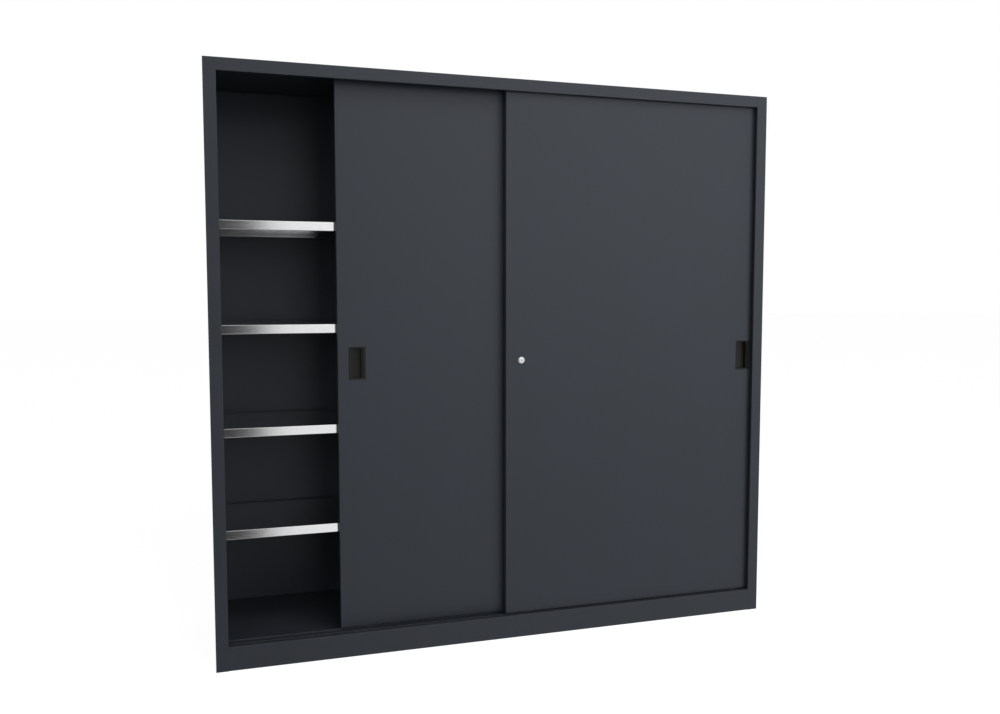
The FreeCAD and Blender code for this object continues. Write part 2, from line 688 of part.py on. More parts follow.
def door_panel(x, y_face, handle_x, extra_holes):
    """A pan folded back on all four sides, open behind between narrow lips."""
    y = (y_face, y_face + DOOR_DEPTH)
    z = (DOOR_BOTTOM, DOOR_TOP)
    outer = rounded_block(x, y, z, DOOR_BEND + SHEET, ALONG_Y)
    inside = rounded_block(
        (x[0] + SHEET, x[1] - SHEET),
        (y[0] + SHEET, y[1] - SHEET),
        (z[0] + SHEET, z[1] - SHEET),
        DOOR_BEND,
        ALONG_Y,
    )
    opening = block(
        (x[0] + DOOR_HEM, x[1] - DOOR_HEM),
        (y[1] - 2 * SHEET, y[1] + SHEET),
        (z[0] + DOOR_HEM, z[1] - DOOR_HEM),
    )
    cuts = [inside, opening, handle_cut_out(handle_x, y_face)]
    half_width = ROLLER_WIDTH / 2 + BRACKET_SIDE_GAP
    centre = y_face + DOOR_DEPTH / 2
    for axle_x in roller_places(x).values():
        cuts.append(block(
            (axle_x - ROLLER_ROOM, axle_x + ROLLER_ROOM),
            (centre - half_width, centre + half_width),
            (z[0] - SHEET, z[0] + 2 * SHEET),
        ))
    hole = SCREW_RADIUS + SCREW_HOLE_GAP
    for screw_x, screw_y in bracket_screw_places(x, y_face):
        cuts.append(rod(hole, (screw_x, screw_y, z[0] - SHEET), 3 * SHEET, ALONG_Z))
    for screw_x, screw_y in guide_screw_places(x, y_face):
        cuts.append(rod(hole, (screw_x, screw_y, z[1] - 2 * SHEET), 3 * SHEET, ALONG_Z))
    return outer.cut(cuts + extra_holes)


def face_hole(radius, x, y_face):
    """Cutter for a hole through a door's face at the height of the lock."""
    return along_y(radius + SCREW_HOLE_GAP, x, (y_face - SHEET, y_face + 2 * SHEET), HANDLE_CENTRE)


def door_stiffener(x, y_face):
    """A vertical hat section behind the door's face."""
    foot, back = y_face + SHEET + HALF, y_face + DOOR_DEPTH - SHEET - HALF
    half = STIFFENER_WIDTH / 2
    section = [
        (x - half - STIFFENER_FOOT, foot),
        (x - half, foot),
        (x - half, back),
        (x + half, back),
        (x + half, foot),
        (x + half + STIFFENER_FOOT, foot),
    ]
    return folded_upright(section, (DOOR_BOTTOM + STIFFENER_END_GAP, DOOR_TOP - STIFFENER_END_GAP))


def roller_bracket(axle_x, y_face):
    """A base plate with two cheeks and a bridge over the roller."""
    centre = y_face + DOOR_DEPTH / 2
    seat = DOOR_BOTTOM + SHEET
    inner = ROLLER_WIDTH / 2 + BRACKET_SIDE_GAP
    outer = inner + BRACKET_SHEET
    bridge = AXLE_Z + ROLLER_ROOM
    half_base = DOOR_DEPTH / 2 - SHEET - BRACKET_SHEET
    x = (axle_x - ROLLER_ROOM, axle_x + ROLLER_ROOM)
    base = block(
        (axle_x - BRACKET_REACH, axle_x + BRACKET_REACH),
        (centre - half_base, centre + half_base),
        (seat, seat + BRACKET_SHEET),
    )
    mouth = block(x, (centre - inner, centre + inner), (seat - SHEET, seat + 2 * BRACKET_SHEET))
    cheeks = block(x, (centre - outer, centre + outer), (seat, bridge + BRACKET_SHEET))
    hollow = block(
        (x[0] - SHEET, x[1] + SHEET),
        (centre - inner, centre + inner),
        (seat - SHEET, bridge),
    )
    cuts = [along_y(AXLE_RADIUS + RUNNING_GAP, axle_x, (centre - outer, centre + outer), AXLE_Z)]
    hole = SCREW_RADIUS + SCREW_HOLE_GAP
    reach = BRACKET_REACH - SCREW_HEAD_RADIUS * 2
    for screw_x in (axle_x - reach, axle_x + reach):
        cuts.append(rod(hole, (screw_x, centre, seat - SHEET), 4 * SHEET, ALONG_Z))
    return fused([base.cut(mouth), cheeks.cut(hollow)]).cut(cuts)


def roller_axle(axle_x, y_face):
    """A pin with a flat head on each cheek of its bracket."""
    centre = y_face + DOOR_DEPTH / 2
    outer = ROLLER_WIDTH / 2 + BRACKET_SIDE_GAP + BRACKET_SHEET
    head = AXLE_RADIUS + BRACKET_SHEET
    pieces = [along_y(AXLE_RADIUS, axle_x, (centre - outer - SHEET, centre + outer + SHEET), AXLE_Z)]
    pieces.append(along_y(head, axle_x, (centre - outer - SHEET, centre - outer), AXLE_Z))
    pieces.append(along_y(head, axle_x, (centre + outer, centre + outer + SHEET), AXLE_Z))
    return fused(pieces)


def door_roller(axle_x, y_face):
    """A wheel with a groove that straddles the running rib."""
    centre = y_face + DOOR_DEPTH / 2
    half, groove = ROLLER_WIDTH / 2, GROOVE_WIDTH / 2
    bore = AXLE_RADIUS + RUNNING_GAP
    slope = (FLANGE_RADIUS - TREAD_RADIUS) / 4
    profile = [
        (bore, -half),
        (FLANGE_RADIUS - slope, -half),
        (FLANGE_RADIUS, -half + slope),
        (FLANGE_RADIUS, -groove - slope),
        (TREAD_RADIUS, -groove),
        (TREAD_RADIUS, groove),
        (FLANGE_RADIUS, groove + slope),
        (FLANGE_RADIUS, half - slope),
        (FLANGE_RADIUS - slope, half),
        (bore, half),
    ]
    spots = [Vector(axle_x + r, centre + y, AXLE_Z) for r, y in profile]
    face = Part.Face(Part.makePolygon(spots + spots[:1]))
    return face.revolve(Vector(axle_x, centre, AXLE_Z), Vector(*ALONG_Y), 360)


def top_guide(guide_x, y_face):
    """A sliding block on the door's top edge, with a tongue up into its channel."""
    centre = y_face + DOOR_DEPTH / 2
    x = (guide_x - GUIDE_LENGTH / 2, guide_x + GUIDE_LENGTH / 2)
    half_base = DOOR_DEPTH / 2 - DOOR_BEND - 2 * SHEET
    base = block(x, (centre - half_base, centre + half_base), (DOOR_TOP, DOOR_TOP + GUIDE_BASE))
    tip = CEILING - CHANNEL_WALL - GUIDE_TOP_GAP
    y = (centre - GUIDE_WIDTH / 2, centre + GUIDE_WIDTH / 2)
    tongue = block(x, y, (DOOR_TOP, tip))
    tongue = tongue.makeFillet(GUIDE_WIDTH / 3, straight_edges(tongue, ALONG_Z))
    guide = fused([base, tongue])
    hole = SCREW_RADIUS + SCREW_HOLE_GAP
    reach = GUIDE_LENGTH / 2 - SCREW_HEAD_RADIUS * 2
    pilots = []
    for screw_x in (guide_x - reach, guide_x + reach):
        pilots.append(rod(hole, (screw_x, centre, DOOR_TOP), GUIDE_BASE * 3, ALONG_Z))
    return guide.cut(pilots)


def door_screws(x, y_face):
    grip = SHEET + BRACKET_SHEET
    seat = DOOR_BOTTOM + grip
    down = [screw(sx, sy, seat, grip, 1) for sx, sy in bracket_screw_places(x, y_face)]
    grip = SHEET + GUIDE_BASE * 2
    seat = DOOR_TOP - SHEET
    up = [screw(sx, sy, seat, grip, -1) for sx, sy in guide_screw_places(x, y_face)]
    return down + up


# --- Handles ------------------------------------------------------------------

def recess_spans(handle_x):
    """Sides and heights of the finger recess of a handle that starts at handle_x."""
    left = handle_x + RECESS_OFFSET
    half = RECESS_HEIGHT / 2
    return (left, left + RECESS_WIDTH), (HANDLE_CENTRE - half, HANDLE_CENTRE + half)


def groove_span(handle_x):
    start = handle_x + RECESS_OFFSET + RECESS_WIDTH + GRIP_GROOVE_GAP
    return start, start + GRIP_GROOVE_WIDTH


def handle_cut_out(handle_x, y_face):
    """Opening in a door's face for the cup and the groove's wall."""
    x, z = recess_spans(handle_x)
    grow = HANDLE_WALL + HANDLE_FIT
    right = groove_span(handle_x)[1] + grow
    return block((x[0] - grow, right), (y_face - SHEET, y_face + 2 * SHEET), (z[0] - grow, z[1] + grow))


def recessed_handle(handle_x, y_face):
    """A cup behind a flat plate, with a grip strip and groove beside the recess."""
    half = RECESS_HEIGHT / 2 + HANDLE_BORDER
    front = y_face - HANDLE_PLATE
    plate = block(
        (handle_x, handle_x + HANDLE_WIDTH),
        (front, y_face),
        (HANDLE_CENTRE - half, HANDLE_CENTRE + half),
    )
    plate = plate.makeFillet(HANDLE_CORNER, straight_edges(plate, ALONG_Y))
    plate = plate.makeFillet(HANDLE_PLATE / 3, edges_at(plate, 1, front))
    x, z = recess_spans(handle_x)
    wall = HANDLE_WALL
    cup = block(
        (x[0] - wall, x[1] + wall),
        (y_face - HANDLE_PLATE / 2, front + RECESS_DEPTH + wall),
        (z[0] - wall, z[1] + wall),
    )
    groove_x = groove_span(handle_x)
    channel = block(
        (x[1], groove_x[1] + wall),
        (y_face - HANDLE_PLATE / 2, front + GRIP_GROOVE_DEPTH + wall),
        (z[0] - wall, z[1] + wall),
    )
    recess = block(x, (front - wall, front + RECESS_DEPTH), z)
    deep = straight_edges(recess, ALONG_Y)
    recess = recess.makeFillet(RECESS_CORNER, deep + edges_at(recess, 1, front + RECESS_DEPTH))
    groove = block(groove_x, (front - wall, front + GRIP_GROOVE_DEPTH), z)
    return fused([plate, cup, channel]).cut([recess, groove])


# --- Lock ---------------------------------------------------------------------

def lock_housing(y_face):
    """Bezel and threaded barrel, closed behind but for the pin's hole."""
    end = y_face + HOUSING_LENGTH
    z = HANDLE_CENTRE
    bezel = along_y(BEZEL_RADIUS, LOCK_X, (y_face - BEZEL_HEIGHT, y_face), z)
    bezel = bezel.makeFillet(BEZEL_HEIGHT / 2, edges_at(bezel, 1, y_face - BEZEL_HEIGHT))
    barrel = along_y(BARREL_RADIUS, LOCK_X, (y_face, end), z)
    bore = along_y(
        BUTTON_RADIUS + RUNNING_GAP,
        LOCK_X,
        (y_face - BEZEL_HEIGHT - SHEET, end - BARREL_WALL),
        z,
    )
    pin_hole = along_y(PIN_RADIUS + RUNNING_GAP, LOCK_X, (y_face, end + SHEET), z)
    return fused([bezel, barrel]).cut([bore, pin_hole])


def lock_nut(y_face):
    """Hexagon nut that clamps the housing to the door's face."""
    radius = NUT_ACROSS_FLATS / math.sqrt(3)
    y = y_face + SHEET
    corners = []
    for i in range(7):
        angle = math.radians(60 * i)
        corners.append(Vector(
            LOCK_X + radius * math.cos(angle), y, HANDLE_CENTRE + radius * math.sin(angle)))
    hexagon = Part.Face(Part.makePolygon(corners)).extrude(Vector(0, NUT_HEIGHT, 0))
    return hexagon.cut(along_y(BARREL_RADIUS + RUNNING_GAP, LOCK_X, (y, y + NUT_HEIGHT), HANDLE_CENTRE))


def lock_plunger(y_face):
    """The push button with its locking pin behind."""
    z = HANDLE_CENTRE
    front = y_face - PLUNGER_PROUD
    shoulder = front + PLUNGER_LENGTH
    tip = y_face + DOOR_DEPTH + PIN_PROUD
    button = along_y(BUTTON_RADIUS, LOCK_X, (front, shoulder), z)
    button = button.makeFillet(BUTTON_EDGE, edges_at(button, 1, front))
    pin = along_y(PIN_RADIUS, LOCK_X, (shoulder, tip), z)
    bore = along_y(PLUG_RADIUS + RUNNING_GAP, LOCK_X, (front - SHEET, front + PLUG_LENGTH), z)
    return fused([button, pin]).cut(bore)


def lock_plug(y_face):
    """The key cylinder, with its key slot standing upright."""
    z = HANDLE_CENTRE
    front = y_face - PLUNGER_PROUD
    plug = along_y(PLUG_RADIUS, LOCK_X, (front, front + PLUG_LENGTH), z)
    slot = block(
        (LOCK_X - KEY_SLOT_WIDTH / 2, LOCK_X + KEY_SLOT_WIDTH / 2),
        (front - SHEET, front + KEY_SLOT_DEPTH),
        (z - KEY_SLOT_HEIGHT / 2, z + KEY_SLOT_HEIGHT / 2),
    )
    return plug.cut(slot)


def lock_spring(y_face):
    """Coil spring round the pin, in short runs, between the plunger and the housing's end."""
    inset = SPRING_WIRE / 2 + SPRING_PLAY
    start = y_face - PLUNGER_PROUD + PLUNGER_LENGTH + inset
    end = y_face + HOUSING_LENGTH - BARREL_WALL - inset
    radius = (BUTTON_RADIUS + PIN_RADIUS) / 2
    runs = SPRING_TURNS * RUNS_PER_TURN
    spots = []
    for i in range(runs + 1):
        angle = 2 * math.pi * i / RUNS_PER_TURN
        y = start + (end - start) * i / runs
        spots.append(Vector(
            LOCK_X + radius * math.cos(angle), y, HANDLE_CENTRE + radius * math.sin(angle)))
    section = Part.makeCircle(SPRING_WIRE / 2, spots[0], spots[1] - spots[0])
    return Part.makePolygon(spots).makePipeShell([Part.Wire(section)], True, False, MITRED)


def keeper_bush(y_face):
    """Collar on the rear door's face that the lock's pin enters."""
    z = HANDLE_CENTRE
    front = y_face - DOOR_GAP + KEEPER_GAP
    collar = along_y(KEEPER_NECK + KEEPER_COLLAR, KEEPER_X, (front, y_face), z)
    neck = along_y(KEEPER_NECK, KEEPER_X, (y_face, y_face + KEEPER_TAIL), z)
    bore_span = (front - SHEET, y_face + KEEPER_TAIL + SHEET)
    return fused([collar, neck]).cut(along_y(KEEPER_BORE, KEEPER_X, bore_span, z))


# --- Assembly -----------------------------------------------------------------

def build_carcass():
    left = left_side_panel()
    save("left_side_panel", left)
    save("right_side_panel", mirrored(left))
    save("roof_panel", roof_panel())
    save("plinth_front", plinth_front())
    save("plinth_rear", plinth_rear())
    save("floor_panel", floor_panel())
    for number in range(1, BEARER_COUNT + 1):
        x = LEFT + WIDTH * number / (BEARER_COUNT + 1) - BEARER_WIDTH / 2
        save("floor_bearer_" + str(number), floor_bearer(x))
    back = back_panel_left()
    save("back_panel_left", back)
    save("back_panel_right", mirrored(back))
    save("centre_partition", centre_partition())
    save("bottom_track", bottom_track())
    save("top_track", top_track())
    save("door_buffers", *door_buffers())
    save("back_rivets", *[rivet(x, z) for x, z in back_rivet_places()])


def build_interior():
    for wall, (wall_x, side) in WALLS.items():
        for row, start in UPRIGHT_STARTS.items():
            save("upright_" + wall + "_" + row, slotted_upright(wall_x, side, start))
    for bay_name, bay in BAYS.items():
        clips = []
        for level in range(SHELF_COUNT):
            save("shelf_" + bay_name + "_" + str(level + 1), shelf(bay, level))
            for wall_x, side in bay:
                clips += [shelf_clip(wall_x, side, y, level) for y in UPRIGHT_STARTS.values()]
        save("shelf_clips_" + bay_name, *clips)


def build_door(name, x, y_face, handle_x, extra_holes):
    save(name + "_panel", door_panel(x, y_face, handle_x, extra_holes))
    third = (x[1] - x[0]) / 3
    save(name + "_stiffeners", *[door_stiffener(x[0] + third * i, y_face) for i in (1, 2)])
    save(name + "_handle", recessed_handle(handle_x, y_face))
    places = roller_places(x)
    save(name + "_roller_brackets", *[roller_bracket(place, y_face) for place in places.values()])
    save(name + "_roller_axles", *[roller_axle(place, y_face) for place in places.values()])
    for end, place in places.items():
        save(name + "_roller_" + end, door_roller(place, y_face))
    save(name + "_top_guides", *[top_guide(place, y_face) for place in places.values()])
    save(name + "_screws", *door_screws(x, y_face))


def build_doors():
    keeper_hole = face_hole(KEEPER_NECK, KEEPER_X, REAR_FACE_Y)
    x = (REAR_DOOR_LEFT, REAR_DOOR_RIGHT)
    build_door("left_door", x, REAR_FACE_Y, x[0] + HANDLE_INSET, [keeper_hole])
    save("left_door_keeper", keeper_bush(REAR_FACE_Y))
    lock_hole = face_hole(BARREL_RADIUS, LOCK_X, FRONT_FACE_Y)
    x = (FRONT_DOOR_LEFT, FRONT_DOOR_RIGHT)
    handle_x = x[1] - HANDLE_INSET - HANDLE_WIDTH
    build_door("right_door", x, FRONT_FACE_Y, handle_x, [lock_hole])
    save("lock_housing", lock_housing(FRONT_FACE_Y))
    save("lock_nut", lock_nut(FRONT_FACE_Y))
    save("lock_spring", lock_spring(FRONT_FACE_Y))
    save("lock_plunger", lock_plunger(FRONT_FACE_Y))
    save("lock_plug", lock_plug(FRONT_FACE_Y))


build_carcass()
build_interior()
build_doors()
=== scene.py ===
import math

import bmesh
import bpy
from mathutils import Matrix, Vector


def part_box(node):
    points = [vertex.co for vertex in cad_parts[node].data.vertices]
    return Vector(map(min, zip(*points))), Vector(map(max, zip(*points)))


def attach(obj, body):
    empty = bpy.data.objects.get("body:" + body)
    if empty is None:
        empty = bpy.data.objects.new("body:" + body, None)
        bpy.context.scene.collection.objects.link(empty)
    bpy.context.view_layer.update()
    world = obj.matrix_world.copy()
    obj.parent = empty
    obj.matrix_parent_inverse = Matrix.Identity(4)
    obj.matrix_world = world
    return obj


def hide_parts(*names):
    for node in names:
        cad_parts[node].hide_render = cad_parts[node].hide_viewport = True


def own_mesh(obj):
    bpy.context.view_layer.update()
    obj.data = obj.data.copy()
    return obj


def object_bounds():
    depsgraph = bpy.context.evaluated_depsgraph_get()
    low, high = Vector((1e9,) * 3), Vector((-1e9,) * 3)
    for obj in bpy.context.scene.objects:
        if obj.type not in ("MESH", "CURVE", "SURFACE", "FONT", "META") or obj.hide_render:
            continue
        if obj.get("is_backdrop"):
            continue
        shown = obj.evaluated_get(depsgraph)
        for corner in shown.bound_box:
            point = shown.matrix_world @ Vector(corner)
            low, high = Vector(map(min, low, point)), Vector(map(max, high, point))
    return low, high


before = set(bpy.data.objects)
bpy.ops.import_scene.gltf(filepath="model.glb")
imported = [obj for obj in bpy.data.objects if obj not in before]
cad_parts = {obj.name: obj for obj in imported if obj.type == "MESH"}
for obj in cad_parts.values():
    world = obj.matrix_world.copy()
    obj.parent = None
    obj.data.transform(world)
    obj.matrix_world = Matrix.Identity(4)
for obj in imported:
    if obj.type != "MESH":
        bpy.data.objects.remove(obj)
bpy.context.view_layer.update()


# --- Carcass ----------------------------------------------------------------
# Side panels with their stiles, roof with its front band, plinths, floor,
# bearers, back panels and partition: folded steel sheet, spot welded and
# powder coated in anthracite grey.

ANTHRACITE = (0.0270, 0.0315, 0.0402)
PALE_DUST = (0.16, 0.155, 0.145)
COAT_GRAIN = 1500.0      # orange peel, waves per metre
COAT_CLOUD = 3.5         # slow changes of gloss, per metre
COAT_SPECULAR = 0.30


def add_node(tree, kind, sockets=None, **settings):
    """A shader node. Sockets take a value or another node's output."""
    node = tree.nodes.new(kind)
    for name, value in settings.items():
        setattr(node, name, value)
    for socket, value in (sockets or {}).items():
        if isinstance(value, bpy.types.NodeSocket):
            tree.links.new(value, node.inputs[socket])
        else:
            node.inputs[socket].default_value = value
    return node


def new_effect(name, inputs, outputs):
    """An empty node group; inputs and outputs are pairs of name and socket type."""
    group = bpy.data.node_groups.new(name, "ShaderNodeTree")
    for label, kind in inputs:
        group.interface.new_socket(label, in_out="INPUT", socket_type="NodeSocket" + kind)
    for label, kind in outputs:
        group.interface.new_socket(label, in_out="OUTPUT", socket_type="NodeSocket" + kind)
    given = group.nodes.new("NodeGroupInput").outputs
    return group, given, group.nodes.new("NodeGroupOutput").inputs


def new_material(name):
    """A material with an empty tree but for the coordinates where its patterns are read."""
    material = bpy.data.materials.new(name)
    material.use_nodes = True
    tree = material.node_tree
    tree.nodes.clear()
    place = add_node(tree, "ShaderNodeTexCoord").outputs["Object"]
    return material, tree, place


def close_material(tree, sockets, height, strength, distance):
    """Ends a material in one Principled shader over a bump of this height."""
    bump = add_node(tree, "ShaderNodeBump", {
        "Strength": strength, "Distance": distance, "Height": height})
    shader = add_node(tree, "ShaderNodeBsdfPrincipled", {
        **sockets, "Normal": bump.outputs["Normal"]})
    output = tree.nodes.new("ShaderNodeOutputMaterial")
    tree.links.new(shader.outputs["BSDF"], output.inputs["Surface"])


def mixed_colour(tree, share, first, second):
    """A colour between two others. Each may be a plain colour or a socket."""
    mix = add_node(tree, "ShaderNodeMix", data_type="RGBA")
    for socket, value in ((mix.inputs[0], share), (mix.inputs[6], first), (mix.inputs[7], second)):
        if isinstance(value, bpy.types.NodeSocket):
            tree.links.new(value, socket)
        else:
            socket.default_value = (*value, 1.0)
    return mix.outputs[2]


def finish_nodes(material, *names):
    """Gives the CAD nodes of these names a finish."""
    for name in names:
        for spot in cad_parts[name].material_slots:
            spot.material = material


uneven_gloss, given, out = new_effect(
    "uneven_gloss",
    [("Place", "Vector"), ("Scale", "Float"), ("Low", "Float"), ("High", "Float")],
    [("Shade", "Float"), ("Roughness", "Float")],
)
cloud = add_node(uneven_gloss, "ShaderNodeTexNoise", {
    "Vector": given["Place"], "Scale": given["Scale"], "Detail": 3.0, "Roughness": 0.5})
for label, low, high in (("Shade", 0.965, 1.035), ("Roughness", given["Low"], given["High"])):
    spread = add_node(uneven_gloss, "ShaderNodeMapRange", {
        "Value": cloud.outputs["Fac"],
        "From Min": 0.3, "From Max": 0.7, "To Min": low, "To Max": high})
    uneven_gloss.links.new(spread.outputs["Result"], out[label])

settled_dust, given, out = new_effect(
    "settled_dust",
    [("Place", "Vector"), ("Normal", "Vector"), ("Amount", "Float")],
    [("Mask", "Float")],
)
speck = add_node(settled_dust, "ShaderNodeTexNoise", {
    "Vector": given["Place"], "Scale": 320.0, "Detail": 4.0, "Roughness": 0.7})
patch = add_node(settled_dust, "ShaderNodeMapRange", {
    "Value": speck.outputs["Fac"], "From Min": 0.4, "From Max": 0.65})
facing = add_node(settled_dust, "ShaderNodeSeparateXYZ", {"Vector": given["Normal"]})
upward = add_node(settled_dust, "ShaderNodeMapRange", {
    "Value": facing.outputs["Z"], "From Min": 0.8, "From Max": 1.0})
dusty = add_node(settled_dust, "ShaderNodeMath", {
    0: upward.outputs["Result"], 1: patch.outputs["Result"]}, operation="MULTIPLY")
dusty = add_node(settled_dust, "ShaderNodeMath", {
    0: dusty.outputs["Value"], 1: given["Amount"]}, operation="MULTIPLY")
settled_dust.links.new(dusty.outputs["Value"], out["Mask"])


def gloss_of(tree, place, scale, low, high):
    """Shade and roughness that drift slowly over a surface."""
    return add_node(tree, "ShaderNodeGroup", {
        "Place": place, "Scale": scale, "Low": low, "High": high}, node_tree=uneven_gloss).outputs


def shaded(tree, colour, shade):
    tint = add_node(tree, "ShaderNodeVectorMath", {0: colour, "Scale": shade}, operation="SCALE")
    return tint.outputs["Vector"]


def dusted(tree, place, colour, amount):
    """A colour under a little pale dust where it faces up."""
    normal = add_node(tree, "ShaderNodeNewGeometry").outputs["Normal"]
    dust = add_node(tree, "ShaderNodeGroup", {
        "Place": place, "Normal": normal, "Amount": amount}, node_tree=settled_dust)
    return mixed_colour(tree, dust.outputs["Mask"], colour, PALE_DUST)


def noise(tree, place, scale, detail=2.0, roughness=0.55):
    return add_node(tree, "ShaderNodeTexNoise", {
        "Vector": place, "Scale": scale, "Detail": detail, "Roughness": roughness}).outputs["Fac"]


material, tree, place = new_material("anthracite_powder_coat")
gloss = gloss_of(tree, place, COAT_CLOUD, 0.40, 0.46)
close_material(tree, {
    "Base Color": dusted(tree, place, shaded(tree, ANTHRACITE, gloss["Shade"]), 0.06),
    "Roughness": gloss["Roughness"],
    "Specular IOR Level": COAT_SPECULAR,
}, noise(tree, place, COAT_GRAIN), 0.05, 0.0004)
powder_coat = material
finish_nodes(
    powder_coat,
    "left_side_panel", "right_side_panel", "roof_panel", "plinth_front", "plinth_rear",
    "floor_panel", "floor_bearer_1", "floor_bearer_2", "floor_bearer_3",
    "back_panel_left", "back_panel_right", "centre_partition", "back_rivets",
)


# --- Tracks and buffers -----------------------------------------------------
# The bottom track is a coated strip with two ribs, rubbed bright on top by the
# rollers. The top track is a coated double channel. Rubber buffers on the side
# panels stop the doors.

RIB_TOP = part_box("bottom_track")[1].z
RUBBED_BAND = 0.0004     # how far down a rib's edge the coat is rubbed off
BARE_STEEL = (0.36, 0.36, 0.37)
RUBBER = (0.018, 0.018, 0.019)

material, tree, place = new_material("rubbed_track_coat")
gloss = gloss_of(tree, place, COAT_CLOUD, 0.36, 0.46)
level = add_node(tree, "ShaderNodeSeparateXYZ", {"Vector": place}).outputs["Z"]
rubbed = add_node(tree, "ShaderNodeMapRange", {
    "Value": level,
    "From Min": RIB_TOP - RUBBED_BAND, "From Max": RIB_TOP - RUBBED_BAND / 4}).outputs["Result"]
scuffed = add_node(tree, "ShaderNodeMath", {
    0: rubbed, 1: noise(tree, place, 60.0, 4.0)}, operation="MULTIPLY").outputs["Value"]
bared = add_node(tree, "ShaderNodeMapRange", {
    "Value": scuffed, "From Min": 0.42, "From Max": 0.58}).outputs["Result"]
coat = dusted(tree, place, shaded(tree, ANTHRACITE, gloss["Shade"]), 0.05)
close_material(tree, {
    "Base Color": mixed_colour(tree, bared, coat, BARE_STEEL),
    "Metallic": bared,
    "Roughness": gloss["Roughness"],
    "Specular IOR Level": COAT_SPECULAR,
}, noise(tree, place, COAT_GRAIN), 0.05, 0.0004)
finish_nodes(material, "bottom_track")
finish_nodes(powder_coat, "top_track")

material, tree, place = new_material("buffer_rubber")
gloss = gloss_of(tree, place, 90.0, 0.72, 0.88)
close_material(tree, {
    "Base Color": dusted(tree, place, shaded(tree, RUBBER, gloss["Shade"]), 0.2),
    "Roughness": gloss["Roughness"],
    "Specular IOR Level": 0.3,
}, noise(tree, place, 1800.0, 4.0, 0.7), 0.25, 0.0002)
finish_nodes(material, "door_buffers")


# --- Uprights, clips and shelves --------------------------------------------
# Slotted uprights, coated like the carcass. The shelves are pans pressed from
# bright galvanised sheet, on galvanised clips that hook into the slots.

ZINC_DARK = (0.76, 0.77, 0.78)
ZINC_LIGHT = (0.79, 0.795, 0.80)
SPANGLE = 75.0           # zinc crystals per metre
ROLLED_LINES = 260.0     # lines left by the mill's rollers, per metre across them

material, tree, place = new_material("bright_galvanised_sheet")
crystal = add_node(tree, "ShaderNodeTexVoronoi", {
    "Vector": place, "Scale": SPANGLE, "Randomness": 1.0})
facet = add_node(tree, "ShaderNodeSeparateColor", {
    "Color": crystal.outputs["Color"]}).outputs["Red"]
along = add_node(tree, "ShaderNodeMapping", {
    "Vector": place, "Scale": (1.5, ROLLED_LINES, ROLLED_LINES)}).outputs["Vector"]
lines = noise(tree, along, 1.0, 3.0)
tone = dusted(tree, place, mixed_colour(tree, facet, ZINC_DARK, ZINC_LIGHT), 0.02)
rough = add_node(tree, "ShaderNodeMapRange", {
    "Value": lines, "To Min": 0.10, "To Max": 0.16}).outputs["Result"]
close_material(tree, {
    "Base Color": tone, "Metallic": 1.0, "Roughness": rough,
}, lines, 0.04, 0.0002)
finish_nodes(
    material,
    "shelf_left_1", "shelf_left_2", "shelf_left_3", "shelf_left_4",
    "shelf_right_1", "shelf_right_2", "shelf_right_3", "shelf_right_4",
    "shelf_clips_left", "shelf_clips_right",
)
finish_nodes(powder_coat, *(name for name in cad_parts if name.startswith("upright_")))


# --- Doors ------------------------------------------------------------------
# Steel pans with folded edges and hat-section stiffeners behind, coated like
# the carcass. Zinc plated brackets, axles and screws carry nylon rollers below,
# and nylon blocks guide the doors above.

ZINC_BLUE = (0.56, 0.58, 0.62)
ZINC_STRAW = (0.60, 0.585, 0.54)
ROLLER_NYLON = (0.050, 0.050, 0.050)
BLACK_NYLON = (0.030, 0.030, 0.031)
TURNING_RINGS = 2600.0   # lines left by the lathe, per metre

finish_nodes(
    powder_coat,
    "left_door_panel", "left_door_stiffeners", "right_door_panel", "right_door_stiffeners",
)

material, tree, place = new_material("zinc_plate")
gloss = gloss_of(tree, place, 140.0, 0.24, 0.38)
hue = add_node(tree, "ShaderNodeMapRange", {
    "Value": noise(tree, place, 55.0), "From Min": 0.4, "From Max": 0.6}).outputs["Result"]
close_material(tree, {
    "Base Color": shaded(tree, mixed_colour(tree, hue, ZINC_BLUE, ZINC_STRAW), gloss["Shade"]),
    "Metallic": 1.0,
    "Roughness": gloss["Roughness"],
}, noise(tree, place, 1400.0, 3.0), 0.06, 0.0002)
zinc_plate = material
finish_nodes(
    zinc_plate,
    "left_door_roller_brackets", "left_door_roller_axles", "left_door_screws",
    "right_door_roller_brackets", "right_door_roller_axles", "right_door_screws",
)

lathe_rings, given, out = new_effect(
    "lathe_rings", [("Place", "Vector"), ("Scale", "Float")], [("Height", "Float")])
ring = add_node(lathe_rings, "ShaderNodeTexWave", {
    "Vector": given["Place"], "Scale": given["Scale"], "Distortion": 0.4, "Detail": 2.0},
    wave_type="RINGS", rings_direction="Y")
lathe_rings.links.new(ring.outputs["Fac"], out["Height"])


def turned_height(tree, place, centre, scale):
    """Fine rings about a line along Y through a point."""
    moved = add_node(tree, "ShaderNodeMapping", {
        "Vector": place, "Location": tuple(-v for v in centre)})
    return add_node(tree, "ShaderNodeGroup", {
        "Place": moved.outputs["Vector"], "Scale": scale}, node_tree=lathe_rings).outputs["Height"]


def middle_of(name):
    low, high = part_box(name)
    return (low + high) / 2


for name in ("left_door_roller_left", "left_door_roller_right",
             "right_door_roller_left", "right_door_roller_right"):
    material, tree, place = new_material("turned_nylon_" + name)
    gloss = gloss_of(tree, place, 120.0, 0.34, 0.46)
    close_material(tree, {
        "Base Color": shaded(tree, ROLLER_NYLON, gloss["Shade"]),
        "Roughness": gloss["Roughness"],
        "Specular IOR Level": 0.45,
    }, turned_height(tree, place, middle_of(name), TURNING_RINGS), 0.12, 0.0001)
    finish_nodes(material, name)

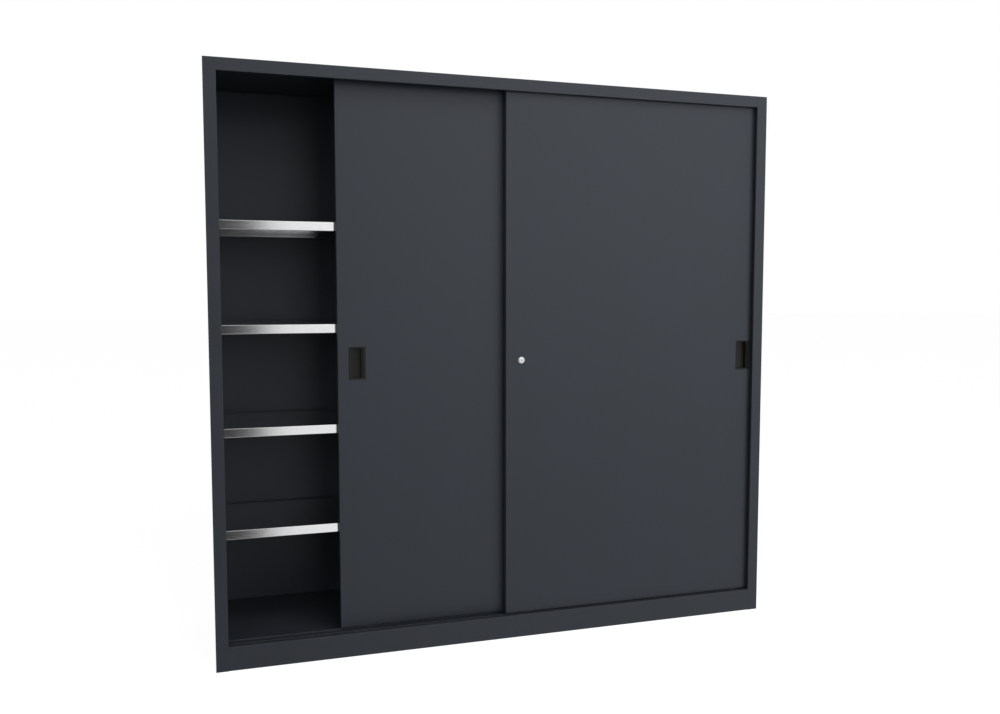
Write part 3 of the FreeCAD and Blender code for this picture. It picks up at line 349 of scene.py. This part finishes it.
material, tree, place = new_material("black_nylon")
gloss = gloss_of(tree, place, 80.0, 0.40, 0.55)
close_material(tree, {
    "Base Color": dusted(tree, place, shaded(tree, BLACK_NYLON, gloss["Shade"]), 0.1),
    "Roughness": gloss["Roughness"],
    "Specular IOR Level": 0.4,
}, noise(tree, place, 1600.0, 3.0), 0.12, 0.0002)
finish_nodes(material, "left_door_top_guides", "right_door_top_guides", "left_door_keeper")


# --- Handles ----------------------------------------------------------------
# Recessed pulls, one moulding each in black plastic: a thin plate with a
# finger cup behind it and a grip groove beside the cup. They snap into the
# cut-out of the door's face.

PULL_PLATE = 0.0015
CUP_X = (0.006, 0.042)           # inside of the cup, from the plate's left edge
CUP_Z = (0.005, 0.105)           # and from its lower edge
CUP_WALL = 0.0015
CUP_DEPTH = 0.019                # from the plate's front
GROOVE_X = (0.045, 0.0485)
GROOVE_DEPTH = 0.005
CUP_CORNER, CUP_FLOOR_EDGE = 0.0025, 0.0022
PLATE_CORNER, FACE_EDGE = 0.003, 0.0011
GROOVE_EDGE = 0.0003
HAIR = 0.00005                   # reach for picking out edges and faces
REAL_CORNER = 0.9                # radians between faces, where an edge is sharp
SMOOTH_BELOW = math.radians(40)
PULL_BLACK = (0.0098, 0.0094, 0.0088)


def cut_across(shape, axis, places):
    """Divides a shape's faces by planes at these places on an axis."""
    normal = Vector([float(i == axis) for i in range(3)])
    for place in places:
        parts = shape.verts[:] + shape.edges[:] + shape.faces[:]
        bmesh.ops.bisect_plane(
            shape, geom=parts, dist=1e-7, plane_co=normal * place, plane_no=normal)


def within(point, low, high):
    return all(a - HAIR < value < b + HAIR for a, value, b in zip(low, point, high))


def faces_between(shape, low, high):
    return [face for face in shape.faces if within(face.calc_center_median(), low, high)]


def push_faces(shape, faces, move):
    """Draws a patch of faces out or in, with walls round it."""
    grown = bmesh.ops.extrude_face_region(shape, geom=faces)["geom"]
    moved = [part for part in grown if isinstance(part, bmesh.types.BMVert)]
    bmesh.ops.delete(shape, geom=faces, context="FACES")
    bmesh.ops.translate(shape, vec=move, verts=moved)


def corners_between(shape, low, high, run=None):
    """Sharp edges that lie in a box, or only those that run along one axis."""
    found = []
    for edge in shape.edges:
        if len(edge.link_faces) != 2 or edge.calc_face_angle() < REAL_CORNER:
            continue
        if not all(within(vertex.co, low, high) for vertex in edge.verts):
            continue
        span = edge.verts[0].co - edge.verts[1].co
        if run is None or abs(span[run]) > span.length * 0.99:
            found.append(edge)
    return found


def round_off(shape, edges, radius, segments):
    bmesh.ops.bevel(
        shape, geom=edges, offset=radius, segments=segments, profile=0.5,
        affect="EDGES", material=-1, clamp_overlap=True)


def close_piece(name, shape, material, slot, body, *stands_for):
    """Makes a shape an object with its finish and puts it in its nodes' place."""
    bmesh.ops.remove_doubles(shape, verts=shape.verts, dist=1e-7)
    bmesh.ops.recalc_face_normals(shape, faces=shape.faces)
    mesh = bpy.data.meshes.new(name)
    for face in shape.faces:
        face.smooth = True
    shape.to_mesh(mesh)
    shape.free()
    mesh.set_sharp_from_angle(angle=SMOOTH_BELOW)
    mesh.materials.append(material)
    piece = bpy.data.objects.new(name, mesh)
    bpy.context.scene.collection.objects.link(piece)
    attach(piece, body)
    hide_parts(*stands_for)
    return piece


material, tree, place = new_material("black_moulding")
gloss = gloss_of(tree, place, 45.0, 0.36, 0.46)
close_material(tree, {
    "Base Color": dusted(tree, place, shaded(tree, PULL_BLACK, gloss["Shade"]), 0.06),
    "Roughness": gloss["Roughness"],
    "Specular IOR Level": 0.22,
}, noise(tree, place, 2400.0, 3.0, 0.6), 0.15, 0.0001)
black_moulding = material

for door in ("left_door", "right_door"):
    low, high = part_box(door + "_handle")
    front, back = low.y, low.y + CUP_DEPTH + CUP_WALL
    channel_back = front + GROOVE_DEPTH + CUP_WALL
    cup_x = [low.x + reach for reach in CUP_X]
    cup_z = [low.z + reach for reach in CUP_Z]
    groove_x = [low.x + reach for reach in GROOVE_X]
    shape = bmesh.new()
    bmesh.ops.create_cube(shape, size=1.0)
    size = Vector((high.x - low.x, PULL_PLATE, high.z - low.z))
    bmesh.ops.scale(shape, vec=size, verts=shape.verts)
    bmesh.ops.translate(shape, vec=low + size / 2, verts=shape.verts)
    outer_x = (cup_x[0] - CUP_WALL, cup_x[1] + CUP_WALL, groove_x[1] + CUP_WALL)
    outer_z = (cup_z[0] - CUP_WALL, cup_z[1] + CUP_WALL)
    cut_across(shape, 0, [*cup_x, *groove_x, *outer_x])
    cut_across(shape, 2, [*cup_z, *outer_z])
    plate_back = front + PULL_PLATE
    steps = ((outer_x[2], plate_back, channel_back), (outer_x[1], channel_back, back))
    for right, start, end in steps:
        behind = faces_between(shape, (outer_x[0], start, outer_z[0]), (right, start, outer_z[1]))
        push_faces(shape, behind, (0, end - start, 0))
    for span_x, depth in ((cup_x, CUP_DEPTH), (groove_x, GROOVE_DEPTH)):
        mouth = faces_between(shape, (span_x[0], front, cup_z[0]), (span_x[1], front, cup_z[1]))
        push_faces(shape, mouth, (0, depth, 0))
    cup_low, cup_high = (cup_x[0], front, cup_z[0]), (cup_x[1], front + CUP_DEPTH, cup_z[1])
    round_off(shape, corners_between(shape, cup_low, cup_high, run=1), CUP_CORNER, 5)
    floor_low = (cup_x[0], front + CUP_DEPTH, cup_z[0])
    round_off(shape, corners_between(shape, floor_low, cup_high), CUP_FLOOR_EDGE, 4)
    round_off(shape, corners_between(
        shape, (low.x, front, low.z), (high.x, plate_back, high.z), run=1), PLATE_CORNER, 5)
    face_low, face_high = (low.x, front, low.z), (high.x, front, high.z)
    groove_low, groove_high = (groove_x[0], front, cup_z[0]), (groove_x[1], front, cup_z[1])
    round_off(shape, corners_between(shape, groove_low, groove_high), GROOVE_EDGE, 2)
    round_off(shape, corners_between(shape, face_low, face_high), FACE_EDGE, 4)
    close_piece(door + "_pull", shape, black_moulding, "black_plastic", door, door + "_handle")


# --- Lock -------------------------------------------------------------------
# A push lock in polished chrome: a turned housing with a bezel on the
# door's face, a push button in its bore, and a key plug in the button. A nut
# clamps the housing from behind, and a coil spring pushes the button out.

BEZEL_RADIUS, BEZEL_HEIGHT, BEZEL_EDGE = 0.01125, 0.0015, 0.0005
BARREL_RADIUS, BARREL_WALL = 0.0095, 0.0015
BUTTON_RADIUS, BUTTON_LENGTH, BUTTON_EDGE = 0.008, 0.0155, 0.0010
PIN_RADIUS, PIN_EDGE = 0.0035, 0.0004
PLUG_RADIUS, PLUG_LENGTH = 0.005, 0.012
FINE_EDGE = 0.0003                       # of the plug and of the housing's far end
DOOR_SHEET = 0.001
KEY_SLOT = (0.0024, 0.0076, 0.009)       # across, upright, deep
KEYWAY_SHADE = (0.02, 0.019, 0.018)      # painted shade inside the key slot
KEYWAY_LIP = 0.0008
RUNNING_GAP = 0.00005
CHROME = (0.80, 0.81, 0.82)
POLISHING_RINGS = 3800.0
TURNS = 64

lock_centre = middle_of("lock_plug")
door_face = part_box("lock_nut")[0].y - DOOR_SHEET
housing_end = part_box("lock_housing")[1].y
button_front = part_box("lock_plunger")[0].y
pin_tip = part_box("lock_plunger")[1].y


def chrome_finish(name, shade_from):
    """Chrome painted dark past this depth: painted shade, as inside the key slot."""
    material, tree, place = new_material(name)
    gloss = gloss_of(tree, place, 160.0, 0.07, 0.13)
    depth = add_node(tree, "ShaderNodeSeparateXYZ", {"Vector": place}).outputs["Y"]
    # Painted shade: past this depth the chrome's colour turns dark, as the key slot's inside.
    keyway_painted_shade = add_node(tree, "ShaderNodeMapRange", {
        "Value": depth,
        "From Min": shade_from, "From Max": shade_from + KEYWAY_LIP}).outputs["Result"]
    bright = shaded(tree, CHROME, gloss["Shade"])
    close_material(tree, {
        "Base Color": mixed_colour(tree, keyway_painted_shade, bright, KEYWAY_SHADE),
        "Metallic": 1.0,
        "Roughness": gloss["Roughness"],
    }, turned_height(tree, place, lock_centre, POLISHING_RINGS), 0.05, 0.00005)
    return material


chrome = chrome_finish("polished_chrome", pin_tip)
# The key plug's chrome carries painted shade inside its key slot.
keyway_chrome = chrome_finish("chrome_with_painted_keyway_shade", button_front)
finish_nodes(zinc_plate, "lock_nut")


def turned(profile, closed):
    """A shape turned about the lock's axis from radii and places along Y."""
    shape = bmesh.new()
    points = [
        shape.verts.new(lock_centre + Vector((radius, y - lock_centre.y, 0)))
        for radius, y in profile]
    pairs = list(zip(points, points[1:])) + ([(points[-1], points[0])] if closed else [])
    lines = [shape.edges.new(pair) for pair in pairs]
    bmesh.ops.spin(
        shape, geom=points + lines, cent=lock_centre, axis=(0, 1, 0), angle=2 * math.pi,
        steps=TURNS, use_merge=True)
    bmesh.ops.remove_doubles(shape, verts=shape.verts, dist=1e-6)
    bmesh.ops.recalc_face_normals(shape, faces=shape.faces)
    return shape


def all_corners(shape, low_y, high_y):
    return corners_between(shape, (-9, low_y, -9), (9, high_y, 9))


bore = BUTTON_RADIUS + RUNNING_GAP
pin_bore = PIN_RADIUS + RUNNING_GAP
bezel_front = door_face - BEZEL_HEIGHT
bore_end = housing_end - BARREL_WALL
shape = turned([
    (bore, bezel_front), (BEZEL_RADIUS, bezel_front), (BEZEL_RADIUS, door_face),
    (BARREL_RADIUS, door_face), (BARREL_RADIUS, housing_end), (pin_bore, housing_end),
    (pin_bore, bore_end), (bore, bore_end)], closed=True)
round_off(shape, all_corners(shape, bezel_front, bezel_front), BEZEL_EDGE, 3)
round_off(shape, all_corners(shape, housing_end, housing_end), FINE_EDGE, 2)
close_piece("lock_bezel", shape, chrome, "lock_chrome", "right_door", "lock_housing")

shoulder = button_front + BUTTON_LENGTH
plug_bore, bore_floor = PLUG_RADIUS + RUNNING_GAP, button_front + PLUG_LENGTH
shape = turned([
    (0, pin_tip), (PIN_RADIUS, pin_tip), (PIN_RADIUS, shoulder), (BUTTON_RADIUS, shoulder),
    (BUTTON_RADIUS, button_front), (plug_bore, button_front), (plug_bore, bore_floor),
    (0, bore_floor)], closed=False)
button_rim = [
    edge for edge in all_corners(shape, button_front, button_front)
    if (edge.verts[0].co - lock_centre).xz.length > plug_bore + HAIR]
round_off(shape, button_rim, BUTTON_EDGE, 4)
round_off(shape, all_corners(shape, pin_tip, pin_tip), PIN_EDGE, 3)
close_piece("lock_button", shape, chrome, "lock_chrome", "lock_plunger", "lock_plunger")

shape = bmesh.new()
rims = []
half_step = Matrix.Rotation(math.pi / TURNS, 3, "Z")
upright = Matrix.Rotation(math.pi / 2, 3, "X") @ half_step
for radius, stretch in ((PLUG_RADIUS, 0.0), (KEY_SLOT[0] / 2, (KEY_SLOT[1] - KEY_SLOT[0]) / 2)):
    ring = bmesh.ops.create_circle(shape, cap_ends=False, segments=TURNS, radius=radius)["verts"]
    bmesh.ops.rotate(shape, verts=ring, cent=(0, 0, 0), matrix=upright)
    for side in (-1, 1):
        half = [v for v in ring if v.co.z * side > 0]
        bmesh.ops.translate(shape, vec=(0, 0, side * stretch), verts=half)
    bmesh.ops.translate(shape, vec=(lock_centre.x, button_front, lock_centre.z), verts=ring)
    rims.append([edge for edge in shape.edges if edge.verts[0] in ring])
bmesh.ops.bridge_loops(shape, edges=rims[0] + rims[1])
for rim, depth in zip(rims, (PLUG_LENGTH, KEY_SLOT[2])):
    grown = bmesh.ops.extrude_edge_only(shape, edges=rim)["geom"]
    moved = [part for part in grown if isinstance(part, bmesh.types.BMVert)]
    bmesh.ops.translate(shape, vec=(0, depth, 0), verts=moved)
    end_ring = [
        part for part in grown if isinstance(part, bmesh.types.BMEdge)
        and all(abs(vertex.co.y - button_front - depth) < HAIR for vertex in part.verts)]
    bmesh.ops.contextual_create(shape, geom=end_ring)
bmesh.ops.recalc_face_normals(shape, faces=shape.faces)
round_off(shape, all_corners(shape, button_front, button_front), FINE_EDGE, 2)
close_piece("lock_key_plug", shape, keyway_chrome, "lock_chrome", "lock_plug", "lock_plug")

shape = bmesh.new()
shape.from_mesh(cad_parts["lock_spring"].data)
spring = close_piece(
    "lock_return_spring", shape, zinc_plate, "zinc_plated_steel", "right_door", "lock_spring")
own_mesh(spring)


# --- Studio -----------------------------------------------------------------
# A pale floor, a white surround, soft lamps and a dark screen that the bright
# metal mirrors. None of it is part of the cabinet.

FLOOR_REACH = 40.0
SCREEN_EDGE = -0.58      # where the dark screen ends, to the left of the middle
SCREEN_FAR_EDGE = -2.6   # and where it starts
SCREEN_PLACE = -6.0      # along Y, in front of the doors
SCREEN_FOOT, SCREEN_HEAD = -3.0, 4.0
SCREEN_GREY = (0.04, 0.04, 0.04)
FLOOR_GREY = (0.25, 0.25, 0.25)
FLOOR_GLOW = 0.94        # what the camera alone sees on the floor
SURROUND_LIGHT = 0.20    # the white surround's light on matt surfaces
BELOW_HORIZON = 0.78     # how much of the surround is left under the horizon


def soft_lamp(name, size, place, target, watts, mirrored=False):
    lamp = bpy.data.lights.new(name, "AREA")
    lamp.shape = "RECTANGLE"
    lamp.size, lamp.size_y = size
    lamp.energy = watts
    holder = bpy.data.objects.new(name, lamp)
    holder.location = place
    holder.rotation_euler = (Vector(target) - Vector(place)).to_track_quat("-Z", "Y").to_euler()
    bpy.context.scene.collection.objects.link(holder)
    holder.visible_glossy = mirrored


def stage_sheet(name, corners, material):
    mesh = bpy.data.meshes.new(name)
    shape = bmesh.new()
    shape.faces.new([shape.verts.new(corner) for corner in corners])
    shape.to_mesh(mesh)
    shape.free()
    sheet = bpy.data.objects.new(name, mesh)
    mesh.materials.append(material)
    bpy.context.scene.collection.objects.link(sheet)
    sheet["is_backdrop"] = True
    return sheet


def stage_material(name, colour, glow):
    """A matt sheet that also glows to the camera, by this much."""
    material, tree, _ = new_material(name)
    path = add_node(tree, "ShaderNodeLightPath")
    strength = add_node(tree, "ShaderNodeMath", {
        0: path.outputs["Is Camera Ray"], 1: glow}, operation="MULTIPLY").outputs["Value"]
    matt = add_node(tree, "ShaderNodeBsdfDiffuse", {"Color": (*colour, 1.0)})
    light = add_node(tree, "ShaderNodeEmission", {"Strength": strength})
    both = add_node(tree, "ShaderNodeAddShader", {
        0: matt.outputs["BSDF"], 1: light.outputs["Emission"]})
    output = tree.nodes.new("ShaderNodeOutputMaterial")
    tree.links.new(both.outputs["Shader"], output.inputs["Surface"])
    return material


r = FLOOR_REACH
floor = stage_sheet(
    "studio_floor", [(-r, -r, 0), (r, -r, 0), (r, r, 0), (-r, r, 0)],
    stage_material("studio_floor", FLOOR_GREY, FLOOR_GLOW))
floor.visible_glossy = False

screen = stage_sheet("studio_screen", [
    (SCREEN_FAR_EDGE, SCREEN_PLACE, SCREEN_FOOT), (SCREEN_EDGE, SCREEN_PLACE, SCREEN_FOOT),
    (SCREEN_EDGE, SCREEN_PLACE, SCREEN_HEAD), (SCREEN_FAR_EDGE, SCREEN_PLACE, SCREEN_HEAD)],
    stage_material("studio_screen", SCREEN_GREY, 0.0))
screen.visible_camera = False

world = bpy.data.worlds.new("studio_world")
bpy.context.scene.world = world
world.use_nodes = True
tree = world.node_tree
tree.nodes.clear()
path = add_node(tree, "ShaderNodeLightPath")
seen = add_node(tree, "ShaderNodeMath", {
    0: path.outputs["Is Camera Ray"], 1: path.outputs["Is Glossy Ray"]}, operation="MAXIMUM")
seen = add_node(tree, "ShaderNodeMath", {
    0: seen.outputs["Value"], 1: path.outputs["Is Transmission Ray"]}, operation="MAXIMUM")
height = add_node(tree, "ShaderNodeSeparateXYZ", {
    "Vector": add_node(tree, "ShaderNodeTexCoord").outputs["Generated"]}).outputs["Z"]
underside = add_node(tree, "ShaderNodeMapRange", {
    "Value": height,
    "From Min": -0.45, "From Max": -0.27, "To Min": BELOW_HORIZON, "To Max": 1.0})
level = add_node(tree, "ShaderNodeMapRange", {
    "Value": seen.outputs["Value"], "To Min": SURROUND_LIGHT, "To Max": 1.0})
level = add_node(tree, "ShaderNodeMath", {
    0: level.outputs["Result"], 1: underside.outputs["Result"]}, operation="MULTIPLY")
surround = add_node(tree, "ShaderNodeBackground", {
    "Color": (1.0, 1.0, 1.0, 1.0), "Strength": level.outputs["Value"]})
output = tree.nodes.new("ShaderNodeOutputWorld")
tree.links.new(surround.outputs["Background"], output.inputs["Surface"])

soft_lamp("front_softbox", (12.0, 3.4), (0.0, -7.0, 3.9), (0.0, -0.2, 1.0), 86.0, mirrored=True)
soft_lamp("front_fill", (8.0, 3.2), (2.5, -6.5, 1.8), (0.2, -0.2, 1.0), 205.0)
soft_lamp("top_lamp", (3.0, 1.2), (0.9, -2.2, 4.0), (0.6, -0.3, 1.3), 38.0)
soft_lamp("left_lamp", (1.5, 1.5), (-3.0, -4.2, 1.8), (-0.6, -0.2, 1.2), 14.0)
soft_lamp("right_lamp", (1.5, 1.5), (3.0, -3.8, 2.2), (0.4, -0.2, 1.2), 25.0)

camera_data = bpy.data.cameras.new("camera")
camera_data.sensor_width = 36.0
camera_data.lens = 32.346
camera = bpy.data.objects.new("camera", camera_data)
right = Vector((0.955320, -0.295575, 0.0))
up = Vector((0.021439, 0.069289, 0.997366))
back = Vector((-0.294796, -0.952803, 0.072530))
turn = Matrix((right, up, back)).transposed().to_4x4()
camera.matrix_world = Matrix.Translation((-0.9582, -3.2117, 1.2270)) @ turn
bpy.context.scene.collection.objects.link(camera)
bpy.context.scene.camera = camera
bpy.context.scene.view_settings.view_transform = "Standard"

low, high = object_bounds()
